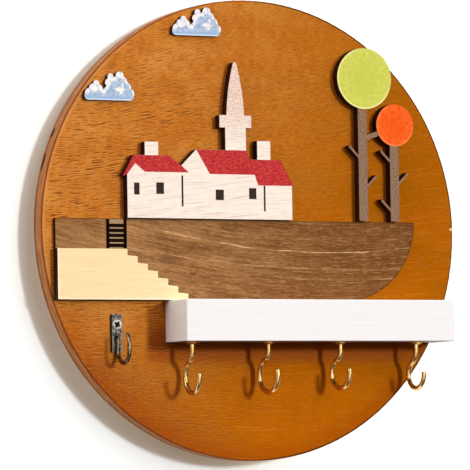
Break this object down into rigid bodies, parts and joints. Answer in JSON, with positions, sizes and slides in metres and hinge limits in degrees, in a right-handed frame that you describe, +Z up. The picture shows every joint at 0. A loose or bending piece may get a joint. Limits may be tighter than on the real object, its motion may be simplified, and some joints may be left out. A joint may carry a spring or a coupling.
{
  "type": "wall key holder",
  "caption": "Round stained board with a layered plywood harbour village, a white bar of open cup hooks below it and a small plate hook; it hangs on two keyhole plates.",
  "frame": {"origin": "centre of the round board's back face, on the wall", "axes": "+Z up, +Y into the wall along the back face's outward normal, +X to the viewer's right; every front faces -Y"},
  "size_m": [0.3, 0.044, 0.3],
  "materials": {
    "stained_board": "clear satin lacquer over an orange-brown stain",
    "quay_ply": "matt walnut-coloured face, burnt sawn edges",
    "stairs_ply": "matt pale yellow face, burnt sawn edges",
    "village_ply": "matt cream face with red roofs, burnt sawn edges",
    "tree_green_ply": "matt yellow-green face, burnt sawn edges",
    "tree_orange_ply": "matt orange face, burnt sawn edges",
    "cloud_ply": "matt light blue and white face, burnt sawn edges",
    "white_bar": "white satin paint",
    "hook_brass": "bright brass plating",
    "antique_steel": "antique finish, rubbed bright on the high places",
    "bright_screw": "bright nickel plating",
    "zinc_steel": "zinc plating"
  },
  "bodies": {
    "root": {"disc_board": "stained_board", "quay_plate": "quay_ply", "stairs_plate": "stairs_ply", "village_plate": "village_ply", "tall_tree": "tree_green_ply", "short_tree": "tree_orange_ply", "cloud_left": "cloud_ply", "cloud_top": "cloud_ply", "hook_bar": "white_bar", "bar_screw_1": "zinc_steel", "bar_screw_2": "zinc_steel", "bar_screw_3": "zinc_steel", "cup_hook_1": "hook_brass", "cup_hook_2": "hook_brass", "cup_hook_3": "hook_brass", "cup_hook_4": "hook_brass", "cup_hook_flange_1": "hook_brass", "cup_hook_flange_2": "hook_brass", "cup_hook_flange_3": "hook_brass", "cup_hook_flange_4": "hook_brass", "plate_hook_plate": "antique_steel", "plate_hook_wire": "antique_steel", "plate_hook_screw": "bright_screw", "keyhole_hanger_left": "zinc_steel", "hanger_screw_left_lower": "zinc_steel", "hanger_screw_left_upper": "zinc_steel", "keyhole_hanger_right": "zinc_steel", "hanger_screw_right_lower": "zinc_steel", "hanger_screw_right_upper": "zinc_steel"}
  },
  "joints": []
}
